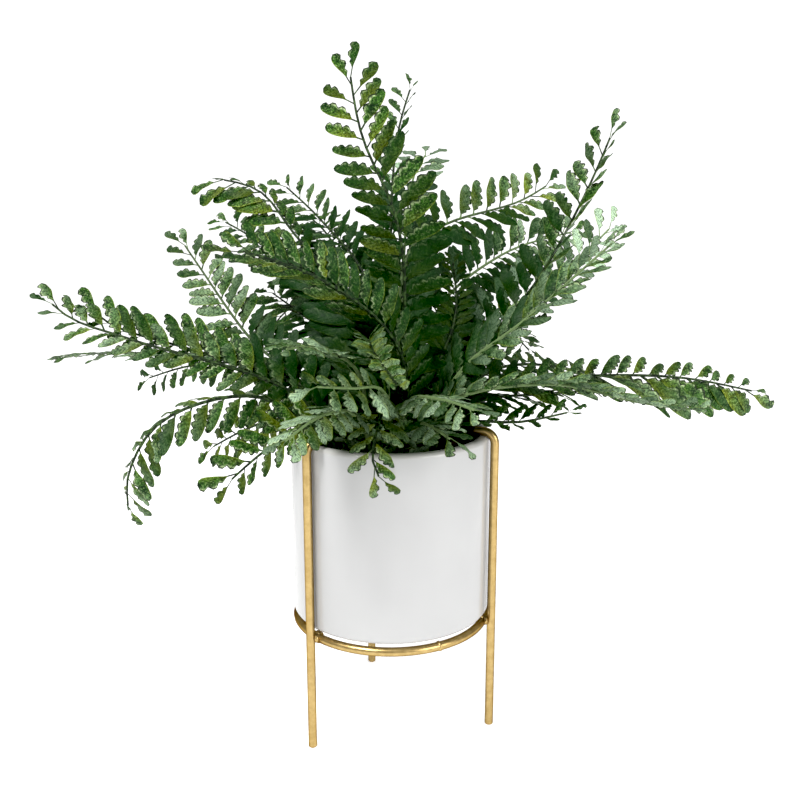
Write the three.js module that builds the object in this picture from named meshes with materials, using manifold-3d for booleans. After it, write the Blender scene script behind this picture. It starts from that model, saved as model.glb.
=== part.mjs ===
// A fern in a plain white pot, held by a stand of gold rod with a ring and three legs.
// Millimetres, +Z up. The origin is on the pot's axis, at the level of the feet.
// The fern's front is towards -Y.
import * as THREE from 'three';
import { mergeVertices } from 'three/addons/utils/BufferGeometryUtils.js';
import Module from 'manifold-3d';

const wasm = await Module();
wasm.setup();

// Pieces that touch on the real thing lie this far apart.
const GAP = 0.3;

// Corners closer than this are one and the same.
const SAME_POINT = 1e-3;

const UP = new THREE.Vector3(0, 0, 1);

// The stand is bent from one size of round rod.
const ROD_RADIUS = 3;
const ROD_SIDES = 10;
const LEG_CIRCLE = 74;
const LEG_BEARINGS = { leg_left: -137.5, leg_right: -17.5, leg_back: 102.5 };
const HOOK_BEND = 8;
const HOOK_BEND_STEPS = 5;
const HOOK_REACH = 15;
const RING_HEIGHT = 79.8;
const RING_SEGMENTS = 36;

// Weld beads stand a little proud of the ring, just inside its middle line, and carry the pot.
const BEAD_RISE = 2.4;
const BEAD_INSIDE = 1;
const BEAD_RADIUS = 3.9;
const BEAD_SEAT_RADIUS = 2.2;
const BEAD_SIDES = 8;

// The pot is a cylinder with a thick wall and softly rounded edges.
const POT_RADIUS = 70;
const POT_HEIGHT = 128.8;
const POT_WALL = 8;
const POT_FLOOR = 9;
const POT_EDGE_ROUND = 3;
const POT_EDGE_DIVISIONS = 1;
const POT_SEGMENTS = 40;
const SOIL_BELOW_RIM = 14;

// A frond is a slim stalk with leaflets by turns on its left and right side.
const STALK_WIDTH = { root: 3.2, tip: 1.8 };
const STALK_HEIGHT = { root: 2.8, tip: 1.6 };
const STALK_IN_SOIL = 18;
const STALK_LEAVES_SOIL = 30;
const BARE_SHARE = 0.22;
const SHORTEST_BARE = 37;
const BARE_STEPS = 3;
const LEAFLET_PITCH = 30;
const FEWEST_PAIRS = 3;
const LEAFLET_LENGTH = 25;
const LEAFLET_WIDTH = 12;
const LEAFLET_THICKNESS = 0.8;
const LEAFLET_BASE = 4.5;

// Leaflets point forward by this many degrees, more so and smaller towards the tip of the frond.
// The last two stand like a fork and reach past the stalk's end.
const SWEEP = { root: 22, tip: 48 };
const TIP_LEAFLET_SIZE = 0.52;
const SHRINKS_FROM = 0.5;
const FORK_SHARE = 0.94;

// Shares of the leafy part of a stalk: the fold is whole up to the first and gone at the second.
const FOLD_FADES = [0.5, 0.75];

// A leaflet that is swept or lifted further than this would lie against its own stalk.
const MOST_SWEEP = 50;
const MOST_RISE = 60;

// Pieces that only touch share less volume than this, in mm3.
const TOUCHING = 0.01;

// How much one leaflet differs from the next: its rise and sweep in degrees, and its size.
const VARIATION = { rise: 7, sweep: 5, size: 0.07 };
const SEED = 20;

// A leaflet's outline: x along it as a share of its length, y across it as a share of its width.
// The edge towards the frond's tip is cut into lobes, and the other edge is smooth.
const OUTLINE = [[0.6, -0.5], [1, -0.05], [0.86, 0.5], [0.66, 0.26], [0.45, 0.52]];

// Where a leaflet would cross another piece it rises or sinks by these degrees, or stays smaller.
const BENDS_CLEAR = [
  [0, 1], [14, 1], [-14, 1], [28, 1], [-28, 1], [42, 1], [-42, 1],
  [0, 0.72], [20, 0.72], [-20, 0.72], [40, 0.72], [-40, 0.72], [60, 0.72], [-60, 0.72],
];

// The stalk of each frond passes its root on the soil [x, y], its shoulder, one or two bends and
// its tip. roll turns the blade about the stalk, in degrees. Of each pair the first value is for
// the leaflets on the left of the stalk and the second for those on its right: rise lifts them,
// fold lifts those of the inner half further and sweep turns them forward, in degrees, and size
// is their scale. tipSize is how small they get at the tip.
const FRONDS = {
  tall_front: { root: [-3, -8], points: [[9, -42, 315], [3, -56, 362], [-17, -58, 409],
    [-26, -50, 459]], roll: 25, rise: [5, 5], sweep: [-5, -4], size: [1.06, 0.92] },
  tall_back: { root: [5, 8], points: [[0, 20, 330], [5, 50, 415], [19, 75, 464]],
    roll: 0, rise: [20, 50], size: [0.72, 0.6] },
  back_right_up: { root: [6, 17], points: [[9, 36, 325], [18, 85, 390], [33, 122, 413]],
    roll: 0, rise: [5, -8], size: [0.95, 0.95], tipSize: 0.65 },
  right_upper: { root: [6, -7], points: [[12, 12, 335], [37, 30, 354], [95, 60, 371],
    [129, 80, 390]], roll: 60, rise: [10, 10], sweep: [-8, 14], size: [0.95, 1] },
  right_tall: { root: [18, -1], points: [[62, 0, 268], [98, -8, 318], [126, -17, 374],
    [145, -25, 425]], roll: 50, rise: [-2, 46], sweep: [-16, 16], size: [1.1, 1], tipSize: 0.42 },
  right_arch: { root: [27, -7], points: [[42, -36, 257], [85, -52, 298], [146, -56, 354]],
    roll: 40, rise: [15, 25], sweep: [8, 8], tipSize: 0.42 },
  right_arch_back: { root: [27, 7], points: [[55, 25, 270], [130, 60, 320], [175, 80, 360]],
    roll: 55, rise: [10, 10], sweep: [-6, 0], size: [0.95, 0.8] },
  right_mid: { root: [17, 7], points: [[30, 40, 285], [85, 90, 330], [160, 135, 350]],
    roll: 60, rise: [10, 10] },
  right_low_long: { root: [28, 0], points: [[54, -8, 242], [100, -13, 252], [190, -15, 254],
    [265, -5, 239]],
    roll: 45, rise: [0, -38], fold: [0, 78], sweep: [0, 14], size: [0.75, 1.35], tipSize: 0.48 },
  front_right_low: { root: [21, -19], points: [[34, -55, 243], [95, -92, 264], [141, -122, 259],
    [181, -130, 255]], roll: 20, rise: [45, 68], sweep: [34, 34], size: [0.62, 0.66] },
  right_under: { root: [24, 14], points: [[55, 20, 225], [120, 70, 225], [170, 110, 220]],
    roll: 10, rise: [0, 0], size: [0.8, 0.8] },
  right_small_low: { root: [25, -13], points: [[44, -30, 224], [85, -45, 230], [120, -55, 240]],
    roll: 20, rise: [20, 20], size: [0.65, 0.65] },
  left_long: { root: [-28, -5], points: [[-62, -14, 240], [-168, -35, 283], [-207, -33, 297],
    [-229, -30, 316]], roll: -50, rise: [6, -10], sweep: [12, -8], size: [0.75, 1.08] },
  left_back_low: { root: [-20, -2], points: [[-62, -6, 245], [-128, -8, 270], [-186, -14, 290],
    [-206, -16, 308]], roll: -50, rise: [0, 12], size: [0.5, 0.95], tipSize: 0.62 },
  left_low_edge: { root: [-26, 10], points: [[-75, 30, 250], [-180, 75, 256], [-263, 100, 252]],
    roll: 4, rise: [5, 5], size: [1.05, 1.05], tipSize: 0.65 },
  left_low_small: { root: [-23, 16], points: [[-70, 50, 245], [-150, 90, 245], [-210, 125, 225]],
    roll: -85, rise: [0, 0], size: [0.7, 0.7], tipSize: 0.65 },
  left_droop: { root: [-25, -12], points: [[-82, -40, 245], [-140, -70, 238], [-163, -72, 206],
    [-169, -60, 167]],
    roll: -50, rise: [-10, -45], sweep: [2, 0], size: [0.88, 0.7], tipSize: 0.56 },
  left_lower_2: { root: [-28, 2], points: [[-55, 10, 225], [-105, 45, 205], [-145, 70, 180]],
    roll: -70, rise: [0, 0], size: [0.85, 0.85], tipSize: 0.65 },
  left_lower_3: { root: [-18, -21], points: [[-38, -43, 226], [-58, -64, 230], [-80, -85, 219],
    [-100, -105, 204]], roll: -75, rise: [0, 0], size: [0.6, 0.85], tipSize: 0.7 },
  left_up_1: { root: [-18, 4], points: [[-66, 7, 250], [-98, 27, 272], [-142, 62, 324],
    [-161, 75, 349]], roll: -60, rise: [5, 5], size: [0.9, 0.95] },
  left_up_2: { root: [-8, -4], points: [[-32, 25, 302], [-70, 45, 349], [-95, 58, 378],
    [-137, 70, 389]], roll: -60, rise: [0, -50], size: [1.25, 0.9] },
  left_up_3: { root: [-9, 3], points: [[-15, 30, 310], [-50, 75, 355], [-90, 110, 390]],
    roll: -45, rise: [20, 20], size: [0.9, 0.8] },
  left_mid_front: { root: [9, -16], points: [[5, -55, 280], [-40, -85, 325], [-95, -110, 347]],
    roll: -120, rise: [-36, -15], sweep: [5, 0], size: [1.08, 0.82] },
  left_back_small: { root: [-15, 11], points: [[-45, 60, 290], [-105, 110, 340],
    [-145, 140, 360]], roll: -40, rise: [5, 5], size: [0.85, 0.85] },
  left_mid_dark: { root: [-9, 16], points: [[-35, 60, 260], [-75, 110, 285], [-105, 150, 300]],
    roll: -30, rise: [5, 5] },
  front_left: { root: [3, -18], points: [[-4, -66, 254], [-24, -104, 264], [-48, -128, 270]],
    roll: -20, rise: [-15, 60], sweep: [-14, 16], size: [0.86, 0.55], tipSize: 0.75 },
  front_low_left: { root: [-9, -27], points: [[-21, -60, 238], [-42, -100, 246],
    [-64, -135, 236]], roll: -10, rise: [-10, -10], size: [0.8, 0.8] },
  front_low_right: { root: [6, -27], points: [[10, -62, 246], [30, -108, 258], [50, -145, 258]],
    roll: 10, rise: [-10, -10], size: [0.8, 0.8] },
  front_dangle: { root: [-1, -28], points: [[-5, -52, 237], [-9, -80, 231], [-11, -93, 218],
    [-4, -98, 202]], roll: 0, rise: [0, 0], size: [0.75, 0.75], tipSize: 0.55 },
  front_right_rim: { root: [13, -25], points: [[17, -46, 229], [32, -72, 229], [39, -84, 226]],
    roll: 0, rise: [0, 0], size: [0.75, 0.75], tipSize: 0.7 },
  front_center: { root: [-5, -17], points: [[-14, -52, 280], [-9, -115, 286], [6, -190, 278]],
    roll: 10, rise: [48, 48], sweep: [22, 22], size: [0.64, 0.64] },
  front_left_up: { root: [-13, -13], points: [[-20, -50, 262], [-43, -110, 288],
    [-57, -165, 296]], roll: -10, rise: [10, 10], size: [0.85, 0.85] },
  center_right_up: { root: [9, 2], points: [[25, 5, 240], [45, 15, 290], [45, 50, 335]],
    roll: 35, rise: [10, 10], size: [0.56, 0.56] },
  center_right_back: { root: [13, 13], points: [[35, 40, 230], [70, 90, 260], [110, 140, 295]],
    roll: 60, rise: [5, 5], size: [0.62, 0.62] },
  back_up_left: { root: [-3, 8], points: [[-20, 45, 285], [-45, 95, 340], [-70, 150, 362]],
    roll: -15, rise: [5, 5], size: [1.1, 1.1] },
  back_mid: { root: [-2, 18], points: [[0, 60, 270], [10, 130, 320], [25, 185, 310]],
    roll: 0, rise: [10, 10], size: [1.1, 1.1] },
  back_left_low: { root: [-10, 26], points: [[-35, 75, 260], [-80, 150, 285], [-115, 182, 250]],
    roll: 10, rise: [0, 0] },
  back_right_low: { root: [14, 24], points: [[40, 70, 255], [90, 140, 270], [130, 180, 235]],
    roll: -10, rise: [0, 0] },
  back_droop: { root: [3, 28], points: [[10, 80, 240], [15, 150, 235], [20, 182, 185]],
    roll: 10, rise: [-10, -10] },
  right_back_low: { root: [20, 19], points: [[70, 45, 245], [150, 100, 238], [210, 150, 205]],
    roll: 20, rise: [0, 0] },
};

const POT_BOTTOM = RING_HEIGHT + ROD_RADIUS + BEAD_RISE + GAP;
const RIM = POT_BOTTOM + POT_HEIGHT;
const SOIL_TOP = RIM - SOIL_BELOW_RIM;
const RING_RADIUS = LEG_CIRCLE - 2 * ROD_RADIUS - GAP;

// The triangles of a leaflet's blade. Its base on the stalk is the first and the last corner.
const BASE_SHARE = LEAFLET_BASE / LEAFLET_WIDTH / 2;
const LEAFLET_FACES = THREE.ShapeUtils.triangulateShape(
  [[0, -BASE_SHARE], ...OUTLINE, [0, BASE_SHARE]].map(xy => new THREE.Vector2(...xy)), [],
);

const GOLD = { color: 0xcdaa64, roughness: 0.4, metalness: 1 };
const WHITE_GLAZE = { color: 0xe9e9e7, roughness: 0.22, metalness: 0 };
const DARK_SOIL = { color: 0x2b2119, roughness: 0.95, metalness: 0 };
const FERN_GREEN = { color: 0x3b5e2f, roughness: 0.55, metalness: 0 };

// A closed geometry as a solid that can be cut, joined and tested.
function solidOf(geometry) {
  const bare = geometry.clone();
  bare.deleteAttribute('normal');
  bare.deleteAttribute('uv');
  const merged = mergeVertices(bare, SAME_POINT);
  return new wasm.Manifold(new wasm.Mesh({
    numProp: 3,
    vertProperties: merged.attributes.position.array,
    triVerts: new Uint32Array(merged.index.array),
  }));
}

function geometryOf(solid) {
  const mesh = solid.getMesh();
  const geometry = new THREE.BufferGeometry();
  geometry.setAttribute('position', new THREE.BufferAttribute(mesh.vertProperties, 3));
  geometry.setIndex(new THREE.BufferAttribute(mesh.triVerts, 1));
  return geometry;
}

// A surface that is put together face by face, corners anticlockwise as seen from outside.
class Surface {
  points = [];
  indices = [];

  corner(point) {
    return this.points.push(point) - 1;
  }

  // mirrored turns the face round, for the left half of something symmetrical.
  triangle(a, b, c, mirrored = false) {
    this.indices.push(a, ...(mirrored ? [c, b] : [b, c]));
  }

  quad(a, b, c, d, mirrored = false) {
    this.triangle(a, b, c, mirrored);
    this.triangle(a, c, d, mirrored);
  }

  geometry() {
    return new THREE.BufferGeometry().setFromPoints(this.points).setIndex(this.indices);
  }
}

function turnedRound(profile) {
  return new THREE.LatheGeometry(profile, POT_SEGMENTS).rotateX(Math.PI / 2);
}

function potGeometry() {
  const round = POT_EDGE_ROUND;
  const inside = POT_RADIUS - POT_WALL;
  const profile = new THREE.Path();
  profile.moveTo(0, POT_BOTTOM);
  profile.lineTo(POT_RADIUS - round, POT_BOTTOM);
  profile.absarc(POT_RADIUS - round, POT_BOTTOM + round, round, -Math.PI / 2, 0);
  profile.absarc(POT_RADIUS - round, RIM - round, round, 0, Math.PI / 2);
  profile.absarc(inside + round, RIM - round, round, Math.PI / 2, Math.PI);
  profile.lineTo(inside, POT_BOTTOM + POT_FLOOR);
  profile.lineTo(0, POT_BOTTOM + POT_FLOOR);
  return turnedRound(profile.getPoints(POT_EDGE_DIVISIONS));
}

// The soil fills the pot, with a plain hole for the foot of each stalk.
function soilGeometry(fronds) {
  const radius = POT_RADIUS - POT_WALL - GAP;
  const bottom = POT_BOTTOM + POT_FLOOR + GAP;
  const profile = [[0, bottom], [radius, bottom], [radius, SOIL_TOP], [0, SOIL_TOP]];
  let soil = solidOf(turnedRound(profile.map(([r, z]) => new THREE.Vector2(r, z))));
  for (const frond of fronds) soil = soil.subtract(solidOf(holeGeometry(frond)));
  return geometryOf(soil);
}

// The middle of a leg's rod: up from the foot, round the bend, and in over the pot's rim.
class LegPath extends THREE.Curve {
  constructor(bendSteps) {
    super();
    this.bendSteps = bendSteps;
    this.steps = bendSteps + 2;
    this.top = RIM + GAP + ROD_RADIUS;
  }

  // How far round the bend a station lies, from 0 on the upright to 1 on the arm.
  bendShare(u) {
    return THREE.MathUtils.clamp((u * this.steps - 1) / this.bendSteps, 0, 1);
  }

  getPointAt(u) {
    if (u <= 0) return new THREE.Vector3(LEG_CIRCLE, 0, 0);
    if (u >= 1) return new THREE.Vector3(LEG_CIRCLE - HOOK_REACH, 0, this.top);
    const angle = this.bendShare(u) * Math.PI / 2;
    return new THREE.Vector3(
      LEG_CIRCLE - HOOK_BEND * (1 - Math.cos(angle)), 0,
      this.top - HOOK_BEND * (1 - Math.sin(angle)),
    );
  }

  getTangentAt(u) {
    const angle = this.bendShare(u) * Math.PI / 2;
    return new THREE.Vector3(-Math.sin(angle), 0, Math.cos(angle));
  }
}

function circleOf(radius, sides) {
  return Array.from({ length: sides }, (_, i) => {
    const angle = (i + 0.5) / sides * 2 * Math.PI;
    return new THREE.Vector2(radius * Math.cos(angle), radius * Math.sin(angle));
  });
}

function legGeometry(bearing) {
  const path = new LegPath(HOOK_BEND_STEPS);
  const section = new THREE.Shape(circleOf(ROD_RADIUS, ROD_SIDES));
  return new THREE.ExtrudeGeometry(section, { steps: path.steps, extrudePath: path })
    .rotateZ(THREE.MathUtils.degToRad(bearing));
}

// The ring with a weld bead beside each leg.
function ringGeometry() {
  const ring = new THREE.TorusGeometry(RING_RADIUS, ROD_RADIUS, BEAD_SIDES, RING_SEGMENTS);
  let joined = solidOf(ring.translate(0, 0, RING_HEIGHT));
  const height = ROD_RADIUS + BEAD_RISE;
  for (const bearing of Object.values(LEG_BEARINGS)) {
    const bead = new THREE.CylinderGeometry(BEAD_SEAT_RADIUS, BEAD_RADIUS, height, BEAD_SIDES)
      .rotateX(Math.PI / 2)
      .translate(RING_RADIUS - BEAD_INSIDE, 0, RING_HEIGHT + height / 2)
      .rotateZ(THREE.MathUtils.degToRad(bearing));
    joined = joined.add(solidOf(bead));
  }
  return geometryOf(joined);
}

// Lays out one frond: the curve of its stalk, and the stations of the corners on each side.
function layOut(name, form) {
  const { root, points, roll, rise, fold = [0, 0], sweep = [0, 0], size = [1, 1] } = form;
  const foot = new THREE.Vector3(...root, SOIL_TOP - STALK_IN_SOIL);
  const way = points.map(point => new THREE.Vector3(...point));
  const curve = new THREE.CatmullRomCurve3([foot, ...way], false, 'centripetal');
  const heading = way.at(-1).clone().sub(foot).setZ(0).normalize();
  const frond = { name, curve, across: heading.cross(UP), length: curve.getLength() };
  frond.roll = THREE.MathUtils.degToRad(roll);
  frond.tipSize = form.tipSize ?? TIP_LEAFLET_SIZE;
  frond.sides = {
    [-1]: { rise: rise[0], fold: fold[0], sweep: sweep[0], size: size[0] },
    1: { rise: rise[1], fold: fold[1], sweep: sweep[1], size: size[1] },
  };
  frond.blades = { [-1]: [], 1: [] };

  const bare = Math.max(BARE_SHARE * frond.length, SHORTEST_BARE);
  const end = FORK_SHARE * frond.length;
  const leafy = end - bare;
  frond.pairs = Math.max(FEWEST_PAIRS, Math.round(leafy / LEAFLET_PITCH));
  const pitch = (leafy - LEAFLET_BASE) / (frond.pairs - 0.5);
  const left = stations(bare, pitch, frond.pairs, BARE_STEPS);
  const right = stations(bare + pitch / 2, pitch, frond.pairs, BARE_STEPS + 1);
  left.push(end);
  frond.stations = { [-1]: left, 1: right };
  frond.firstLeaflet = { [-1]: BARE_STEPS + 1, 1: BARE_STEPS + 2 };
  frond.leafy = [bare, end];
  return frond;
}

// Distances along the stalk: the bare part in steps, then the two ends of each leaflet's base.
function stations(firstLeaflet, pitch, count, steps) {
  const list = [0];
  for (let i = 0; i < steps; i++) {
    list.push(THREE.MathUtils.lerp(STALK_LEAVES_SOIL, firstLeaflet, i / steps));
  }
  for (let i = 0; i < count; i++) {
    list.push(firstLeaflet + i * pitch, firstLeaflet + i * pitch + LEAFLET_BASE);
  }
  return list;
}

// The stalk's middle at a distance along it, with the directions forward, across and up.
function frameAt(frond, distance) {
  const share = Math.min(distance / frond.length, 1);
  const point = frond.curve.getPointAt(share);
  const forward = frond.curve.getTangentAt(share);
  const across = frond.across.clone().addScaledVector(forward, -frond.across.dot(forward));
  across.normalize().applyAxisAngle(forward, frond.roll);
  return { share, point, forward, across, up: across.clone().cross(forward) };
}

function stalkCorner(frond, distance, side, height, extra = 0) {
  const { share, point, across, up } = frameAt(frond, distance);
  const width = THREE.MathUtils.lerp(STALK_WIDTH.root, STALK_WIDTH.tip, share);
  const depth = THREE.MathUtils.lerp(STALK_HEIGHT.root, STALK_HEIGHT.tip, share);
  return point.clone()
    .addScaledVector(across, side * (width / 2 + extra))
    .addScaledVector(up, height * (depth / 2 + extra));
}

// The hole in the soil: the stalk's foot, larger by the gap all round and below.
function holeGeometry(frond) {
  const surface = new Surface();
  const ends = [0, STALK_LEAVES_SOIL].map((distance, i) => {
    const down = frameAt(frond, 0).forward.multiplyScalar(i === 0 ? -GAP : 0);
    return [[-1, -1], [1, -1], [1, 1], [-1, 1]].map(([side, height]) =>
      surface.corner(stalkCorner(frond, distance, side, height, GAP).add(down)));
  });
  const [foot, top] = ends;
  surface.quad(...foot);
  surface.quad(...top.toReversed());
  foot.forEach((corner, i) => {
    const next = (i + 1) % foot.length;
    surface.quad(foot[next], corner, top[i], top[next]);
  });
  return surface.geometry();
}

// The corners of a leaflet's blade, on its upper and on its lower face. extra thickens it.
function bladeCorners(frond, { side, middle, sweep, rise, size }, extra = 0) {
  const { point, forward, across, up } = frameAt(frond, middle);
  const level = across.multiplyScalar(side);
  const outwards = turned(level, up, rise);
  const normal = turned(up, level, -rise);
  const along = turned(outwards, forward, sweep);
  const wide = turned(forward, outwards, -sweep);
  const corners = height => OUTLINE.map(([x, y]) => point.clone()
    .addScaledVector(along, x * (LEAFLET_LENGTH * size + extra))
    .addScaledVector(wide, y * (LEAFLET_WIDTH * size + 2 * extra))
    .addScaledVector(normal, height * (LEAFLET_THICKNESS / 2 + extra)));
  return { upper: corners(1), lower: corners(-1) };
}

// One direction turned towards another, which is square to it, by some degrees.
function turned(from, towards, degrees) {
  const angle = THREE.MathUtils.degToRad(degrees);
  return from.clone().multiplyScalar(Math.cos(angle)).addScaledVector(towards, Math.sin(angle));
}

// Grows a blade from the stalk's side, between two pairs of corners that both share.
function addBlade(surface, start, end, blade, mirrored) {
  const [upper, lower] = ['upper', 'lower'].map(face => [
    start[face], ...blade[face].map(point => surface.corner(point)), end[face],
  ]);
  for (const [a, b, c] of LEAFLET_FACES) {
    surface.triangle(upper[a], upper[b], upper[c], mirrored);
    surface.triangle(lower[a], lower[c], lower[b], mirrored);
  }
  for (let i = 1; i < upper.length; i++) {
    surface.quad(lower[i - 1], lower[i], upper[i], upper[i - 1], mirrored);
  }
}

function stalkCorners(surface, frond, side, distance, extra = 0) {
  return {
    upper: surface.corner(stalkCorner(frond, distance, side, 1, extra)),
    lower: surface.corner(stalkCorner(frond, distance, side, -1, extra)),
  };
}

// A stalk with the leaflets that it has so far, as one closed surface.
function frondGeometry(frond) {
  const surface = new Surface();
  const [left, right] = [-1, 1].map(side =>
    frond.stations[side].map(distance => stalkCorners(surface, frond, side, distance)));
  surface.quad(left[0].lower, right[0].lower, right[0].upper, left[0].upper);
  for (let i = 1; i < left.length; i++) {
    surface.quad(left[i - 1].upper, right[i - 1].upper, right[i].upper, left[i].upper);
    surface.quad(left[i - 1].lower, left[i].lower, right[i].lower, right[i - 1].lower);
    for (const [side, corners] of [[-1, left], [1, right]]) {
      const [start, end, blade] = [corners[i - 1], corners[i], frond.blades[side][i - 1]];
      if (blade) addBlade(surface, start, end, blade, side < 0);
      else surface.quad(start.lower, end.lower, end.upper, start.upper, side < 0);
    }
  }
  const [leftTip, rightTip] = [left.at(-1), right.at(-1)];
  surface.quad(leftTip.lower, leftTip.upper, rightTip.upper, rightTip.lower);
  return surface.geometry();
}

// A leaflet by itself, to find out what it would cross. extra thickens it on every side.
function leafletGeometry(frond, leaflet, extra) {
  const surface = new Surface();
  const half = LEAFLET_BASE / 2;
  const [start, end] = [-half, half].map(step =>
    stalkCorners(surface, frond, leaflet.side, leaflet.middle + step, extra));
  const mirrored = leaflet.side < 0;
  addBlade(surface, start, end, bladeCorners(frond, leaflet, extra), mirrored);
  surface.quad(start.lower, start.upper, end.upper, end.lower, mirrored);
  return surface.geometry();
}

function obstacle(geometry) {
  geometry.computeBoundingBox();
  return { box: geometry.boundingBox, solid: solidOf(geometry) };
}

function crosses(piece, others) {
  return others.some(other =>
    piece.box.intersectsBox(other.box) && !piece.solid.intersect(other.solid).isEmpty());
}

// Whether a leaflet cuts back into its own stalk, which it should only touch with its base.
function cutsStalk(frond, leaflet, stalk) {
  return solidOf(leafletGeometry(frond, leaflet, 0)).intersect(stalk.solid).volume() > TOUCHING;
}

function vary(amount) {
  return amount * (2 * THREE.MathUtils.seededRandom() - 1);
}

// The leaflet as it grows by itself, before it makes way for what is near.
function leafletAt(frond, side, station, isLast) {
  const middle = frond.stations[side][station] + LEAFLET_BASE / 2;
  const share = THREE.MathUtils.inverseLerp(...frond.leafy, middle);
  const shrunk = THREE.MathUtils.smoothstep(share, SHRINKS_FROM, 1);
  const folded = 1 - THREE.MathUtils.smoothstep(share, ...FOLD_FADES);
  const { rise, fold, sweep, size } = frond.sides[side];
  const forward = THREE.MathUtils.lerp(SWEEP.root, SWEEP.tip, share) + sweep;
  return {
    side,
    middle,
    size: size * THREE.MathUtils.lerp(1, frond.tipSize, shrunk) * (1 + vary(VARIATION.size)),
    sweep: Math.min(isLast ? MOST_SWEEP : forward + vary(VARIATION.sweep), MOST_SWEEP),
    rise: rise + fold * folded + vary(VARIATION.rise),
  };
}

// Gives a frond its leaflets, each bent clear of what is there already, or left off.
function growLeaflets(frond, stalk, obstacles) {
  for (const side of [-1, 1]) {
    for (let i = 0; i < frond.pairs; i++) {
      const station = frond.firstLeaflet[side] + 2 * i;
      const grown = leafletAt(frond, side, station, i === frond.pairs - 1);
      for (const [lift, scale] of BENDS_CLEAR) {
        const rise = THREE.MathUtils.clamp(grown.rise + lift, -MOST_RISE, MOST_RISE);
        const leaflet = { ...grown, rise, size: grown.size * scale };
        if (cutsStalk(frond, leaflet, stalk)) continue;
        if (crosses(obstacle(leafletGeometry(frond, leaflet, GAP)), obstacles)) continue;
        frond.blades[side][station] = bladeCorners(frond, leaflet);
        obstacles.push(obstacle(leafletGeometry(frond, leaflet, 0)));
        break;
      }
    }
  }
}

const part = new THREE.Group();

function add(name, geometry, finish) {
  geometry.computeVertexNormals();
  const mesh = new THREE.Mesh(geometry, new THREE.MeshStandardMaterial(finish));
  mesh.name = name;
  part.add(mesh);
  return geometry;
}

const fronds = Object.entries(FRONDS).map(([name, form]) => layOut(name, form));
const fixed = [
  add('pot', potGeometry(), WHITE_GLAZE),
  add('potting_soil', soilGeometry(fronds), DARK_SOIL),
  add('stand_ring', ringGeometry(), GOLD),
  ...Object.entries(LEG_BEARINGS).map(([name, bearing]) => add(name, legGeometry(bearing), GOLD)),
].map(obstacle);

THREE.MathUtils.seededRandom(SEED);
const stalks = fronds.map(frond => obstacle(frondGeometry(frond)));
const leaflets = [];
for (const [i, frond] of fronds.entries()) {
  const near = [...fixed, ...stalks.toSpliced(i, 1), ...leaflets];
  const before = near.length;
  growLeaflets(frond, stalks[i], near);
  leaflets.push(...near.slice(before));
  add(frond.name, frondGeometry(frond), FERN_GREEN);
}

export default part;
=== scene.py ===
# %% [markdown]
# # A fern in a white pot on a gold stand
#
# A CAD model of this plant already exists. Its pot and stand have their true sizes, and each
# of its forty fronds is a stalk with a few plain leaflets. This script keeps those sizes and
# gives every piece its looks: the gloss of the glaze, the mottled gold, the crumbly soil, and
# fronds with all of their small lobed leaflets.
#
# Everything is in metres, with the pot's axis at the origin and the floor at height 0.

# %% Load the CAD model
import math
import random

import bmesh
import bpy
from mathutils import Color, Matrix, Vector, noise


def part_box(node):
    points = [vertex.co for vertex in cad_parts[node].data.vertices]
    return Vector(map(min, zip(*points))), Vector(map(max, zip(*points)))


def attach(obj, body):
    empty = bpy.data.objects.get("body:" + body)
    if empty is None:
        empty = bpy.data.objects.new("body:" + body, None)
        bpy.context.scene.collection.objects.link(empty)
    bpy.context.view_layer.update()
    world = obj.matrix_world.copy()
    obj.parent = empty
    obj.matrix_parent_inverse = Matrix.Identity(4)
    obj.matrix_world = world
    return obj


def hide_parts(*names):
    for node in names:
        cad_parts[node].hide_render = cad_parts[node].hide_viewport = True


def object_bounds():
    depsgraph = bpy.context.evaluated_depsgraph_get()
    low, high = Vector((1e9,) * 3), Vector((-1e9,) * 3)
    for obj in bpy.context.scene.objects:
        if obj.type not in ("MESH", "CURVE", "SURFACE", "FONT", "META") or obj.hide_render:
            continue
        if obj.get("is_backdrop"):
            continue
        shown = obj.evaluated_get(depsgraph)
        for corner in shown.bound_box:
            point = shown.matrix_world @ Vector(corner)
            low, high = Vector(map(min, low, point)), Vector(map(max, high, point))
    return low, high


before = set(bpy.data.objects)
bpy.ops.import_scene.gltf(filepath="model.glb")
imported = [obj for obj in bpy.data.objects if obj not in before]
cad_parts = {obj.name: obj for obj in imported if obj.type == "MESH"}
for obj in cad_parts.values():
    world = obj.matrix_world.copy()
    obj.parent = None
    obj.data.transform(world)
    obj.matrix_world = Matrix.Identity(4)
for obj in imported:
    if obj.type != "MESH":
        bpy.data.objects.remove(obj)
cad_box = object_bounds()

MM = 0.001
UP = Vector((0, 0, 1))
print("nodes:", len(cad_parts))
print("size in mm:", [round((high - low) / MM) for low, high in zip(*cad_box)])

# %% [markdown]
# ## The camera
#
# The photograph was taken from a little above the pot's rim, close by. A near camera makes the
# pot's rim a clear ellipse and the near leaflets larger, so the distance matters as much as
# the angle. The lens is the one that makes the pot as wide as it is in the photograph.

# %% Set the camera
CAMERA_PLACE = (0, -626.4 * MM, 367.3 * MM)
LOOKS_DOWN = 11.91
TURNED_RIGHT = 0.59
LENS = 41.39

camera = bpy.data.objects.new("camera", bpy.data.cameras.new("camera"))
camera.data.lens = LENS
camera.location = CAMERA_PLACE
camera.rotation_euler = (math.radians(90 - LOOKS_DOWN), 0, math.radians(-TURNED_RIGHT))
bpy.context.scene.collection.objects.link(camera)
bpy.context.scene.camera = camera
print("camera at", tuple(round(c, 3) for c in camera.location))

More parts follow.
